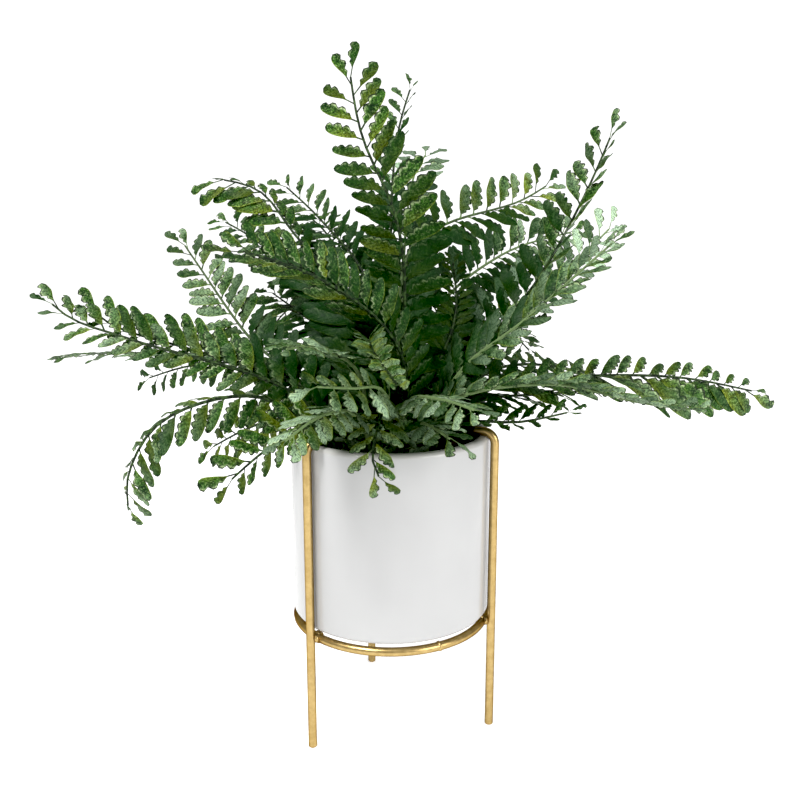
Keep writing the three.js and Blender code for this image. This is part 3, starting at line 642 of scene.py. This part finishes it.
# %% The forty fronds
FRONDS = {
    "tall_front": dict(
        root=(-3, -8), way=[(9, -42, 315), (3, -56, 362), (-17, -58, 409), (-26, -50, 459)],
        roll=25, rise=(5, 5), sweep=(-5, -4), size=(1.06, 0.92), pitch=10.5, wax=0.15, olive=0.6),
    "tall_back": dict(
        root=(5, 8), way=[(0, 20, 330), (5, 50, 415), (19, 75, 464)],
        roll=0, rise=(20, 50), size=(0.72, 0.6), wax=0.5, olive=0.1),
    "back_right_up": dict(
        root=(6, 17), way=[(9, 36, 325), (18, 85, 390), (33, 122, 413)],
        roll=0, rise=(5, -8), size=(0.95, 0.95), tip_size=0.65, wax=1.5, olive=0.2),
    "right_upper": dict(
        root=(6, -7), way=[(12, 12, 335), (37, 30, 354), (95, 60, 371), (129, 80, 390)],
        roll=60, rise=(10, 10), sweep=(-8, 14), size=(0.95, 1), wax=0.75, olive=0.75),
    "right_tall": dict(
        root=(18, -1), way=[(62, 0, 268), (98, -8, 318), (126, -17, 374), (145, -25, 425)],
        roll=50, rise=(-2, 46), sweep=(-16, 16), size=(1.1, 1), tip_size=0.42, wax=0.6,
        olive=0.4),
    "right_arch": dict(
        root=(27, -7), way=[(42, -36, 257), (85, -52, 298), (146, -56, 354)],
        roll=40, rise=(15, 25), sweep=(8, 8), tip_size=0.42, pitch=9, wax=1, olive=0.4),
    "right_arch_back": dict(
        root=(27, 7), way=[(55, 25, 270), (130, 60, 320), (175, 80, 360)],
        roll=55, rise=(10, 10), sweep=(-6, 0), size=(0.95, 0.8), wax=1.8, olive=0.2),
    "right_mid": dict(
        root=(17, 7), way=[(30, 40, 285), (85, 90, 330), (160, 135, 350)],
        roll=60, rise=(10, 10), pitch=9, wax=0.9, olive=0.3),
    "right_low_long": dict(
        root=(28, 0), way=[(54, -8, 242), (100, -13, 252), (190, -15, 254), (265, -5, 239)],
        roll=45, rise=(0, -38), fold=(0, 78), sweep=(0, 14), size=(0.75, 1.35), tip_size=0.48,
        wax=0.5, olive=0.5),
    "front_right_low": dict(
        root=(21, -19), way=[(34, -55, 243), (95, -92, 264), (141, -122, 259), (181, -130, 255)],
        roll=20, rise=(45, 68), sweep=(34, 34), size=(0.62, 0.66), wax=0.85, olive=0.3),
    "right_under": dict(
        root=(24, 14), way=[(55, 20, 225), (120, 70, 225), (170, 110, 220)],
        roll=10, size=(0.8, 0.8), wax=0.2, olive=0.2),
    "right_small_low": dict(
        root=(25, -13), way=[(44, -30, 224), (85, -45, 230), (120, -55, 240)],
        roll=20, rise=(20, 20), size=(0.65, 0.65), wax=0.3, olive=0.3),
    "left_long": dict(
        root=(-28, -5),
        way=[(-62, -14, 240), (-168, -35, 283), (-207, -33, 297), (-229, -30, 316)],
        roll=-50, rise=(6, -10), sweep=(12, -8), size=(0.75, 1.08), wax=0.65, olive=0.55),
    "left_back_low": dict(
        root=(-20, -2), way=[(-62, -6, 245), (-128, -8, 270), (-186, -14, 290), (-206, -16, 308)],
        roll=-50, rise=(0, 12), size=(0.5, 0.95), tip_size=0.62, wax=0.15, olive=0.15),
    "left_low_edge": dict(
        root=(-26, 10), way=[(-75, 30, 250), (-180, 75, 256), (-263, 100, 252)],
        roll=4, rise=(5, 5), size=(1.05, 1.05), tip_size=0.65, wax=0.8, olive=0.2),
    "left_low_small": dict(
        root=(-23, 16), way=[(-70, 50, 245), (-150, 90, 245), (-210, 125, 225)],
        roll=-85, size=(0.7, 0.7), tip_size=0.65, wax=0.3, olive=0.3),
    "left_droop": dict(
        root=(-25, -12),
        way=[(-82, -40, 245), (-140, -70, 238), (-163, -72, 206), (-169, -60, 167)],
        roll=-50, rise=(-10, -45), sweep=(2, 0), size=(0.88, 0.7), tip_size=0.56, wax=0.5,
        olive=0.55),
    "left_lower_2": dict(
        root=(-28, 2), way=[(-55, 10, 225), (-105, 45, 205), (-145, 70, 180)],
        roll=-70, size=(0.85, 0.85), tip_size=0.65, wax=0.05, olive=0.7),
    "left_lower_3": dict(
        root=(-18, -21),
        way=[(-38, -43, 226), (-58, -64, 230), (-80, -85, 219), (-100, -105, 204)],
        roll=-75, size=(0.6, 0.85), tip_size=0.7, wax=0.05, olive=0.7),
    "left_up_1": dict(
        root=(-18, 4), way=[(-66, 7, 250), (-98, 27, 272), (-142, 62, 324), (-161, 75, 349)],
        roll=-60, rise=(5, 5), size=(0.9, 0.95), pitch=9.5, wax=0.75, olive=0.4),
    "left_up_2": dict(
        root=(-8, -4), way=[(-32, 25, 302), (-70, 45, 349), (-95, 58, 378), (-137, 70, 389)],
        roll=-60, rise=(0, -50), size=(1.25, 0.9), pitch=10, wax=0.25, olive=0.5),
    "left_up_3": dict(
        root=(-9, 3), way=[(-15, 30, 310), (-50, 75, 355), (-90, 110, 390)],
        roll=-45, rise=(20, 20), size=(0.9, 0.8), wax=0.6, olive=0.35),
    "left_mid_front": dict(
        root=(9, -16), way=[(5, -55, 280), (-40, -85, 325), (-95, -110, 347)],
        roll=-120, rise=(-36, -15), sweep=(5, 0), size=(1.08, 0.82), pitch=8, wax=0.3, olive=0.5),
    "left_back_small": dict(
        root=(-15, 11), way=[(-45, 60, 290), (-105, 110, 340), (-145, 140, 360)],
        roll=-40, rise=(5, 5), size=(0.85, 0.85), pitch=9, wax=0.6, olive=0.2),
    "left_mid_dark": dict(
        root=(-9, 16), way=[(-35, 60, 260), (-75, 110, 285), (-105, 150, 300)],
        roll=-30, rise=(5, 5), pitch=9, wax=0.15, olive=0.1),
    "front_left": dict(
        root=(3, -18), way=[(-4, -66, 254), (-24, -104, 264), (-48, -128, 270)],
        roll=-20, rise=(-15, 60), sweep=(-14, 16), size=(0.86, 0.55), tip_size=0.75, wax=0.95,
        olive=1),
    "front_low_left": dict(
        root=(-9, -27), way=[(-21, -60, 238), (-42, -100, 246), (-64, -135, 236)],
        roll=-10, rise=(-10, -10), size=(0.8, 0.8), pitch=8, wax=1.05, olive=0.55),
    "front_low_right": dict(
        root=(6, -27), way=[(10, -62, 246), (30, -108, 258), (50, -145, 258)],
        roll=10, rise=(-10, -10), size=(0.8, 0.8), pitch=8, wax=1, olive=0.45),
    "front_dangle": dict(
        root=(-1, -28), way=[(-5, -52, 237), (-9, -80, 231), (-11, -93, 218), (-4, -98, 202)],
        roll=0, size=(0.75, 0.75), tip_size=0.55, wax=0.6, olive=0.8),
    "front_right_rim": dict(
        root=(13, -25), way=[(17, -46, 229), (32, -72, 229), (39, -84, 226)],
        roll=0, size=(0.75, 0.75), tip_size=0.7, pitch=8, wax=0.95, olive=0.4),
    "front_center": dict(
        root=(-5, -17), way=[(-14, -52, 280), (-9, -115, 286), (6, -190, 278)],
        roll=10, rise=(48, 48), sweep=(22, 22), size=(0.64, 0.64), pitch=7, wax=0.6, olive=0.7),
    "front_left_up": dict(
        root=(-13, -13), way=[(-20, -50, 262), (-43, -110, 288), (-57, -165, 296)],
        roll=-10, rise=(10, 10), size=(0.85, 0.85), pitch=9, wax=0.85, olive=0.4),
    "center_right_up": dict(
        root=(9, 2), way=[(25, 5, 240), (45, 15, 290), (45, 50, 335)],
        roll=35, rise=(10, 10), size=(0.56, 0.56), pitch=5, wax=0.15, olive=1.2),
    "center_right_back": dict(
        root=(13, 13), way=[(35, 40, 230), (70, 90, 260), (110, 140, 295)],
        roll=60, rise=(5, 5), size=(0.62, 0.62), pitch=6, wax=0.3, olive=1),
    "back_up_left": dict(
        root=(-3, 8), way=[(-20, 45, 285), (-45, 95, 340), (-70, 150, 362)],
        roll=-15, rise=(5, 5), size=(1.1, 1.1), wax=0.3, olive=0.2),
    "back_mid": dict(
        root=(-2, 18), way=[(0, 60, 270), (10, 130, 320), (25, 185, 310)],
        roll=0, rise=(10, 10), size=(1.1, 1.1), wax=0.3, olive=0.4),
    "back_left_low": dict(
        root=(-10, 26), way=[(-35, 75, 260), (-80, 150, 285), (-115, 182, 250)],
        roll=10, wax=0.3, olive=0.3),
    "back_right_low": dict(
        root=(14, 24), way=[(40, 70, 255), (90, 140, 270), (130, 180, 235)],
        roll=-10, wax=0.4, olive=0.3),
    "back_droop": dict(
        root=(3, 28), way=[(10, 80, 240), (15, 150, 235), (20, 182, 185)],
        roll=10, rise=(-10, -10), wax=0.3, olive=0.5),
    "right_back_low": dict(
        root=(20, 19), way=[(70, 45, 245), (150, 100, 238), (210, 150, 205)],
        roll=20, wax=0.3, olive=0.4),
}
print("fronds:", len(FRONDS))

# %% [markdown]
# ## The leaf and the stalk as finishes
#
# A leaflet is mottled: deep green with fresh green blotches, and yellow-green towards its foot
# and along its smooth edge. Towards its tip and its lobes it turns pale and bluish, where a
# waxy bloom and a painted highlight lie together, and a pale band just inside the lobes is a
# painted highlight too. The lobes have a dark rim. Veins slant out to the lobes, and fine dark
# and light specks lie over all of it. What follows the leaflet reads the UV map, where u runs
# along it and v across it. How dark, waxy and olive one leaflet is comes from the `growth`
# attribute, which it gets when it is placed. Its darkness is painted shade: leaflets are
# darkened at random as if in the shade of others, and most of all deep in the plant near its
# heart, where shade falls, so the colour also reads how far a place is from that heart.
#
# The colours are laid over each other one by one, as a painter does it. Each layer has a
# strength from 0 to 1, which says where and how much it covers the ones below.

# %% Leaf finish
# Painted shade is deepest within the nearer of the two distances from the plant's heart, and gone
# beyond the farther one.
HEART = (10 * MM, 35 * MM, 292 * MM)
HEART_EDGE = (70 * MM, 140 * MM)
VEINS = 8
VEIN_SLANT = 1.6
# Of these colours, the pale bluish one carries a painted highlight with the bloom, the pale one
# for the lobes is a painted highlight, and the shadow is painted shade.
LEAF = {
    "deep": paint(10, 40, 8), "fresh": paint(48, 88, 24), "sunny": paint(108, 120, 28),
    "bloom_and_highlight": paint(126, 150, 118), "frost": paint(168, 194, 164), "lobes": paint(170, 188, 140),
    "smooth edge": paint(128, 144, 48), "vein": paint(10, 38, 8), "dark speck": paint(4, 20, 4),
    "light speck": paint(160, 186, 120), "rim": paint(16, 26, 14), "shadow": paint(3, 40, 2),
}


def fern_leaf():
    finish, place = start_finish("fern_leaf", {"Specular IOR Level": 0.12})
    growth = place.node("Attribute", {"attribute_name": "growth"}, output="Vector")
    tint, wax, olive = (growth.part(axis) for axis in "XYZ")
    uv = place.node("UVMap", {"uv_map": "UVMap"})
    along, across = (uv.part(axis) for axis in "XY")
    edge = abs(across * 2 - 1)
    away = place.node("VectorMath", {"operation": "DISTANCE"}, {0: place, 1: HEART}, "Value")

    blotch = place.speckle(4.5 * MM, detail=4, roughness=0.65)
    cloud = place.speckle(11 * MM, detail=1)
    grain = place.speckle(1.3 * MM, detail=3, roughness=0.7)
    vein = ((along * VEINS - edge * VEIN_SLANT) * 2 * math.pi).sine().fade(0.5, 1)
    sunny = (olive * (1.1 - along - across * 0.6 + cloud * 0.9 + tint * 0.4)).fade(0.3, 1.2)
    # A waxy bloom and a painted highlight together, paler towards the tip and the lobed edge.
    bloom_and_highlight = (wax * (along * 0.6 + across * 0.3 + blotch * 1.4 + cloud - 1.1)).fade(0.1, 1)
    # Painted highlight: a pale band just inside the lobed edge, broken by the blotches.
    lobes = across.fade(0.74, 0.88) * blotch.fade(0.4, 0.58)
    rim = across.fade(0.87, 0.95) * 0.95 + along.fade(0.88, 0.98) * 0.7
    # Painted shade: leaflets darkened at random as if shaded by others, and more near the heart
    # deep inside the plant.
    shadow = tint.fade(0.4, 1) * 0.75 + (1 - away.fade(*HEART_EDGE)) * 0.95

    layers = {
        "sunny": sunny, "bloom_and_highlight": bloom_and_highlight, "frost": (wax - 1).clamped(), "lobes": lobes * 0.8,
        "smooth edge": (1 - across).fade(0.86, 1) * 0.6, "vein": vein * 0.6,
        "dark speck": grain.fade(0.5, 0.64) * 0.7,
        "light speck": (1 - grain).fade(0.54, 0.64) * 0.3,
        "rim": rim.clamped(), "shadow": shadow.clamped() * 0.9,
    }
    green = blotch.fade(0.36, 0.6).blend(LEAF["deep"], LEAF["fresh"])
    for name, strength in layers.items():
        green = strength.blend(green, LEAF[name])
    return wire_finish(finish, {
        "Base Color": green,
        "Roughness": blotch * 0.25 + 0.35,
        "Normal": bump(grain - vein * 0.5, 0.3 * MM, 0.8),
    })


# %% [markdown]
# The stalks are nearly black, with streaks of dark green. Those of the waxy fronds are paler.

# %% Stalk finish
STALK = {"dark": paint(16, 28, 14), "green": paint(62, 84, 44), "waxy": paint(112, 134, 88)}


def dark_stalk():
    finish, place = start_finish("dark_stalk", {"Specular IOR Level": 0.15})
    wax = place.node("Attribute", {"attribute_name": "growth"}, output="Vector").part("Y")
    streak = place.speckle(2.5 * MM, detail=3)
    green = streak.fade(0.4, 0.75).blend(STALK["dark"], STALK["green"])
    return wire_finish(finish, {
        "Base Color": (wax.fade(0.6, 1) * 0.7).blend(green, STALK["waxy"]),
        "Roughness": streak * 0.2 + 0.45,
        "Normal": bump(streak, 0.3 * MM, 0.6),
    })


frond_finishes = [fern_leaf(), dark_stalk()]
ON_LEAF, ON_STALK = 0, 1

# %% [markdown]
# ## One leaflet
#
# A leaflet is a thin oblong blade on a short stem, its petiole. The edge towards the foot of
# the frond is smooth, and the other edge and the end are cut into small round lobes. The blade
# starts as a flat grid, two faces wide and three long for each lobe. Its rows are moved onto
# the lower edge, the vein and the lobed upper edge, which are drawn for a leaflet of length 1.
# A flipped copy closes it underneath: both share the edges, and the veins stand apart, so the
# blade is thickest along its middle. The end of the petiole is then filled. It all has few
# faces, because the plant has more than a thousand leaflets.
#
# There are four kinds. Each is used up to a share of the way to the frond's tip, and has
# fewer, deeper lobes than the one before and a longer petiole.

# %% Leaflet shapes
UPPER_EDGE = SmoothLine([Vector(p) for p in [
    (0, 0.02, 0), (0.07, 0.12, 0), (0.17, 0.22, 0), (0.35, 0.26, 0), (0.6, 0.235, 0),
    (0.82, 0.175, 0), (0.96, 0.085, 0), (1, 0, 0)]])
LOWER_EDGE = SmoothLine([Vector(p) for p in [
    (0, -0.02, 0), (0.15, -0.07, 0), (0.4, -0.12, 0), (0.66, -0.13, 0), (0.87, -0.1, 0),
    (0.975, -0.05, 0), (1, 0, 0)]])
VEIN_HEIGHT = 0.012
VEIN_BOW = 0.02
PETIOLE_HALF_WIDTH = 0.024
COLUMNS_PER_LOBE = 3
SAME_CORNER = 0.002
LEAFLET_KINDS = {
    0.55: dict(lobes=6, petiole=0.1, widen=0.98, flare=0, notch=0.34),
    0.8: dict(lobes=5, petiole=0.14, widen=1.0, flare=0.05, notch=0.38),
    0.93: dict(lobes=4, petiole=0.22, widen=1.06, flare=0.25, notch=0.42),
    1: dict(lobes=3, petiole=0.42, widen=1.15, flare=0.6, notch=0.5),
}


def leaflet_point(column, row, lobes, petiole, widen, flare, notch):
    """Where a corner of the grid goes: column along the leaflet, row -1, 0 or 1 across it."""
    if column < 2:
        height = 0 if row else VEIN_HEIGHT
        return Vector((0 if column else -petiole, row * PETIOLE_HALF_WIDTH, height))
    share = (column - 1) / (COLUMNS_PER_LOBE * lobes)
    upper, lower = UPPER_EDGE.at(share)[0], LOWER_EDGE.at(share)[0]
    vein = (upper + lower) / 2
    vein.y = VEIN_BOW * math.sin(math.pi * share)
    if row == 0:
        return vein + Vector((0, 0, VEIN_HEIGHT if share < 1 else 0))
    if row < 0:
        point = lower
    else:
        phase = (column - 1) % COLUMNS_PER_LOBE / COLUMNS_PER_LOBE
        roundness = math.sqrt(1 - (2 * phase - 1) ** 2)
        point = vein + (upper - vein) * (1 - notch * (1 - roundness))
    return Vector((point.x, point.y * widen * (1 + flare * (2 * share - 1)), 0))


def leaflet_shape(form):
    shape = bmesh.new()
    shape.loops.layers.uv.new("UVMap")
    columns = COLUMNS_PER_LOBE * form["lobes"] + 1
    bmesh.ops.create_grid(shape, x_segments=columns, y_segments=2, size=1, calc_uvs=True)
    for vert in shape.verts:
        column = round((vert.co.x + 1) / 2 * columns)
        vert.co = leaflet_point(column, round(vert.co.y), **form)
    under = bmesh.ops.duplicate(shape, geom=shape.verts[:] + shape.edges[:] + shape.faces[:])
    copied = [item for item in under["geom"] if isinstance(item, bmesh.types.BMVert)]
    bmesh.ops.scale(shape, vec=(1, 1, -1), verts=copied)
    bmesh.ops.remove_doubles(shape, verts=shape.verts, dist=SAME_CORNER)
    bmesh.ops.holes_fill(shape, edges=[edge for edge in shape.edges if edge.is_boundary])
    bmesh.ops.recalc_face_normals(shape, faces=shape.faces)
    for face in shape.faces:
        face.material_index = ON_STALK if face.calc_center_median().x < 0 else ON_LEAF
    mesh = bpy.data.meshes.new(f"leaflet_{form['lobes']}")
    shape.to_mesh(mesh)
    shape.free()
    print(mesh.name, "has", len(mesh.polygons), "faces")
    return mesh


leaflet_kinds = {until: leaflet_shape(form) for until, form in LEAFLET_KINDS.items()}

# %% [markdown]
# ## Growing a frond
#
# At each place along the stalk there are three directions: forward along it, across the blade,
# and up out of the blade. The two sides of the stalk are called -1, on its left, and 1.

# %% Directions along a stalk
STALK_IN_SOIL = 18 * MM
BARE_SHARE = 0.13
FORK_SHARE = 0.94
TIP_SIZE = 0.52
PITCH = 11


def by_side(pair):
    return dict(zip((-1, 1), pair))


def lay_out(root, way, roll, wax, olive, rise=(0, 0), fold=(0, 0), sweep=(0, 0),
            size=(1, 1), tip_size=TIP_SIZE, pitch=PITCH):
    """A frond as the table gives it, with its line and with the numbers of each side."""
    foot = Vector((root[0] * MM, root[1] * MM, soil_high.z - STALK_IN_SOIL))
    points = [foot, *(Vector(point) * MM for point in way)]
    heading = points[-1] - foot
    heading.z = 0
    return dict(line=SmoothLine(points), sideways=heading.normalized().cross(UP),
                roll=math.radians(roll), rise=by_side(rise), fold=by_side(fold),
                sweep=by_side(sweep), size=by_side(size), tip_size=tip_size,
                pitch=pitch * MM, wax=wax, olive=olive)


def directions(frond, share):
    """The point at a share of the stalk, and the directions forward, across and up there."""
    point, forward = frond["line"].at(share)
    across = frond["sideways"] - forward * frond["sideways"].dot(forward)
    across = Matrix.Rotation(frond["roll"], 3, forward) @ across.normalized()
    return point, forward, across, across.cross(forward)


def turned(start, towards, degrees):
    """The direction start, turned by an angle towards another one at right angles to it."""
    angle = math.radians(degrees)
    return start * math.cos(angle) + towards * math.sin(angle)


# %% [markdown]
# The stalk is a thin rod. It starts as a small disc in the soil, and each extrusion pulls its
# end on to the next place. The matrices of the two places carry the end over, turn it and make
# it thinner.

# %% Stalks
STALK_RADIUS = {"root": 1.8 * MM, "tip": 0.6 * MM}
STALK_TAPER = 0.8
STALK_SIDES = 7
STALK_STEP = 11 * MM


def blended(start, end, share):
    return start + (end - start) * share


def stalk_place(frond, share):
    """The matrix that takes a disc of radius 1 to this place on the stalk."""
    point, forward, across, up = directions(frond, share)
    radius = blended(STALK_RADIUS["root"], STALK_RADIUS["tip"], share ** STALK_TAPER)
    place = Matrix((across * radius, up * radius, forward * radius)).transposed().to_4x4()
    place.translation = point
    return place


def grow_stalk(shape, frond):
    steps = round(frond["line"].length / STALK_STEP)
    place = stalk_place(frond, 0)
    bmesh.ops.create_circle(shape, cap_ends=True, segments=STALK_SIDES, radius=1, matrix=place)
    end = shape.faces[:][0]
    for i in range(1, steps + 1):
        end = pulled(shape, end, (0, 0, 0))
        after = stalk_place(frond, FORK_SHARE * i / steps)
        bmesh.ops.transform(shape, matrix=after @ place.inverted(), verts=end.verts[:])
        place = after
    growth = shape.verts.layers.float_vector["growth"]
    for vert in shape.verts:
        vert[growth] = (0, frond["wax"], frond["olive"])
    for face in shape.faces:
        face.material_index = ON_STALK
    bmesh.ops.recalc_face_normals(shape, faces=shape.faces)


# %% [markdown]
# A leaflet points outwards and is swept towards the tip. It sags, is cupped along its vein,
# ripples along its edges and is twisted a little by chance, so that no two are alike. One that
# would cut into the pot or a leg is lifted or lowered until it is clear, or else left off.
# On the left of the stalk a leaflet is the mirror image of one on the right. A mirror turns
# faces inwards, so they are reversed there.

# %% Leaflets
LEAFLET_LENGTH = 28 * MM
RIPPLES = 9
LIFTS = (0, 14, -14, 28, -28, 42, 60, 80)
CLEAR_OUTSIDE = 1.5 * MM
CLEAR_INSIDE = 1 * MM
CLEAR_OF_LEG = 1 * MM


def in_the_way(point):
    """Whether a point lies in the pot's wall, the soil or the top of a leg."""
    out = point.xy.length
    if point.z < pot_high.z + CLEAR_OUTSIDE and out < POT_RADIUS + CLEAR_OUTSIDE:
        return out > POT_RADIUS - POT_WALL - CLEAR_INSIDE or point.z < soil_high.z
    for leg, bearing in LEG_BEARINGS.items():
        angle = math.radians(bearing)
        away = point.xy - LEG_CIRCLE * Vector((math.cos(angle), math.sin(angle)))
        if away.length < ROD_RADIUS + CLEAR_OF_LEG and point.z < leg_tops[leg] + CLEAR_OF_LEG:
            return True
    return False


def leaflet_places(frond, leaflet, corners):
    """The places of a leaflet's corners, after its sag, cup, ripple and twist."""
    point, forward, across, up = directions(frond, leaflet["share"])
    level = across * leaflet["side"]
    outwards = turned(level, up, leaflet["rise"])
    normal = turned(up, level, -leaflet["rise"])
    along = turned(outwards, forward, leaflet["sweep"])
    wide = turned(forward, outwards, -leaflet["sweep"])
    wide, normal = turned(wide, normal, leaflet["twist"]), turned(normal, wide, -leaflet["twist"])
    petiole = -min(corner.x for corner in corners)
    places = []
    for x, y, z in corners:
        drop = leaflet["sag"] * x * abs(x) + leaflet["cup"] * abs(y)
        ripple = leaflet["ripple"] * math.sin(RIPPLES * x + leaflet["phase"]) * y
        places.append(point + leaflet["length"] * (along * (x + petiole) + wide * y
                                                   + normal * (z - drop + ripple)))
    return places


def add_leaflet(shape, frond, leaflet):
    """Returns how many leaflets were added: 1, or 0 where there is no room."""
    kind = next(mesh for until, mesh in leaflet_kinds.items() if leaflet["grown"] <= until)
    corners = [vert.co for vert in kind.vertices]
    for lift in LIFTS:
        places = leaflet_places(frond, leaflet | {"rise": leaflet["rise"] + lift}, corners)
        if not any(in_the_way(place) for place in places):
            break
    else:
        return 0
    first_vert, first_face = len(shape.verts), len(shape.faces)
    shape.from_mesh(kind)
    shape.verts.ensure_lookup_table()
    shape.faces.ensure_lookup_table()
    growth = shape.verts.layers.float_vector["growth"]
    for vert, place in zip(shape.verts[first_vert:], places):
        vert.co = place
        vert[growth] = (leaflet["tint"], leaflet["wax"], leaflet["olive"])
    if leaflet["side"] == -1:
        bmesh.ops.reverse_faces(shape, faces=shape.faces[first_face:])
    return 1


# %% [markdown]
# Leaflets stand by turns on both sides. The first ones are a little smaller, the next ones
# have their full size, and towards the tip they get small and are swept forward, until the
# last two form a fork. A fold lifts the leaflets of a frond's inner half, and opens again
# before its tip.

# %% Fronds
SWEEP = {"root": 22, "tip": 48}
MOST_SWEEP = 70
FORK_SWEEP = 68
FIRST_SIZE = 0.85
FULL_SIZE_FROM = 0.2
SHRINKS_FROM = 0.4
SHRINK_POWER = 2.6
FOLDED_UNTIL = 0.5
FLAT_FROM = 0.75
TWIST = 9
VARIATION = {
    "length": (0.9, 1.08), "sweep": (-6, 6), "rise": (-9, 9), "sag": (0.05, 0.3),
    "cup": (-0.1, 0.35), "ripple": (0.1, 0.3), "phase": (0, 6), "colour": (0.5, 1.4),
}


def leaflet_size(grown, tip_size):
    """The scale of a leaflet that stands at this share of the way to the tip."""
    full = min(grown / FULL_SIZE_FROM, 1)
    shrunk = max(grown - SHRINKS_FROM, 0) / (1 - SHRINKS_FROM)
    return blended(FIRST_SIZE, 1, full) * blended(1, tip_size, shrunk ** SHRINK_POWER)


def grow_leaflets(shape, frond, chance):
    """Adds a frond's leaflets to its shape and returns how many there are."""
    def vary(what):
        return chance.uniform(*VARIATION[what])

    leafy = frond["line"].length * (FORK_SHARE - BARE_SHARE)
    last = 2 * round(leafy / frond["pitch"])
    count = 0
    for i in range(last + 1):
        side = 1 if i % 2 else -1
        grown = i / last
        size = leaflet_size(grown, frond["tip_size"]) * frond["size"][side]
        sweep = blended(SWEEP["root"], SWEEP["tip"], grown) + frond["sweep"][side]
        if i >= last - 1:
            sweep = FORK_SWEEP
        folded = min(max((FLAT_FROM - grown) / (FLAT_FROM - FOLDED_UNTIL), 0), 1)
        count += add_leaflet(shape, frond, dict(
            side=side, grown=grown, share=blended(BARE_SHARE, FORK_SHARE, grown),
            length=LEAFLET_LENGTH * size * vary("length"),
            sweep=min(sweep, MOST_SWEEP) + vary("sweep"),
            rise=frond["rise"][side] + frond["fold"][side] * folded + vary("rise"),
            twist=chance.gauss(0, TWIST), sag=vary("sag"), cup=vary("cup"),
            ripple=vary("ripple"), phase=vary("phase"), tint=chance.random(),
            wax=frond["wax"] * vary("colour"), olive=frond["olive"] * vary("colour")))
    return count


def make_frond(name, form):
    chance = random.Random(name)
    frond = lay_out(**form)
    shape = bmesh.new()
    shape.loops.layers.uv.new("UVMap")
    shape.verts.layers.float_vector.new("growth")
    grow_stalk(shape, frond)
    count = grow_leaflets(shape, frond, chance)
    make_piece("fern_" + name, shape, frond_finishes, [name], sharp=65)
    return count


leaflets = sum(make_frond(name, form) for name, form in FRONDS.items())
print("leaflets:", leaflets)

# %% [markdown]
# ## The two boxes
#
# Both boxes are measured, and the print shows how far the finished plant reaches beyond the
# CAD model's box.

# %% Measure both boxes
boxes = {"cad": [list(corner) for corner in cad_box],
         "visual": [list(corner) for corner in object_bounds()]}
print("beyond the CAD box in mm:",
      [round((a - b) / MM, 1) for a, b in zip(cad_box[0], boxes["visual"][0])],
      [round((b - a) / MM, 1) for a, b in zip(cad_box[1], boxes["visual"][1])])
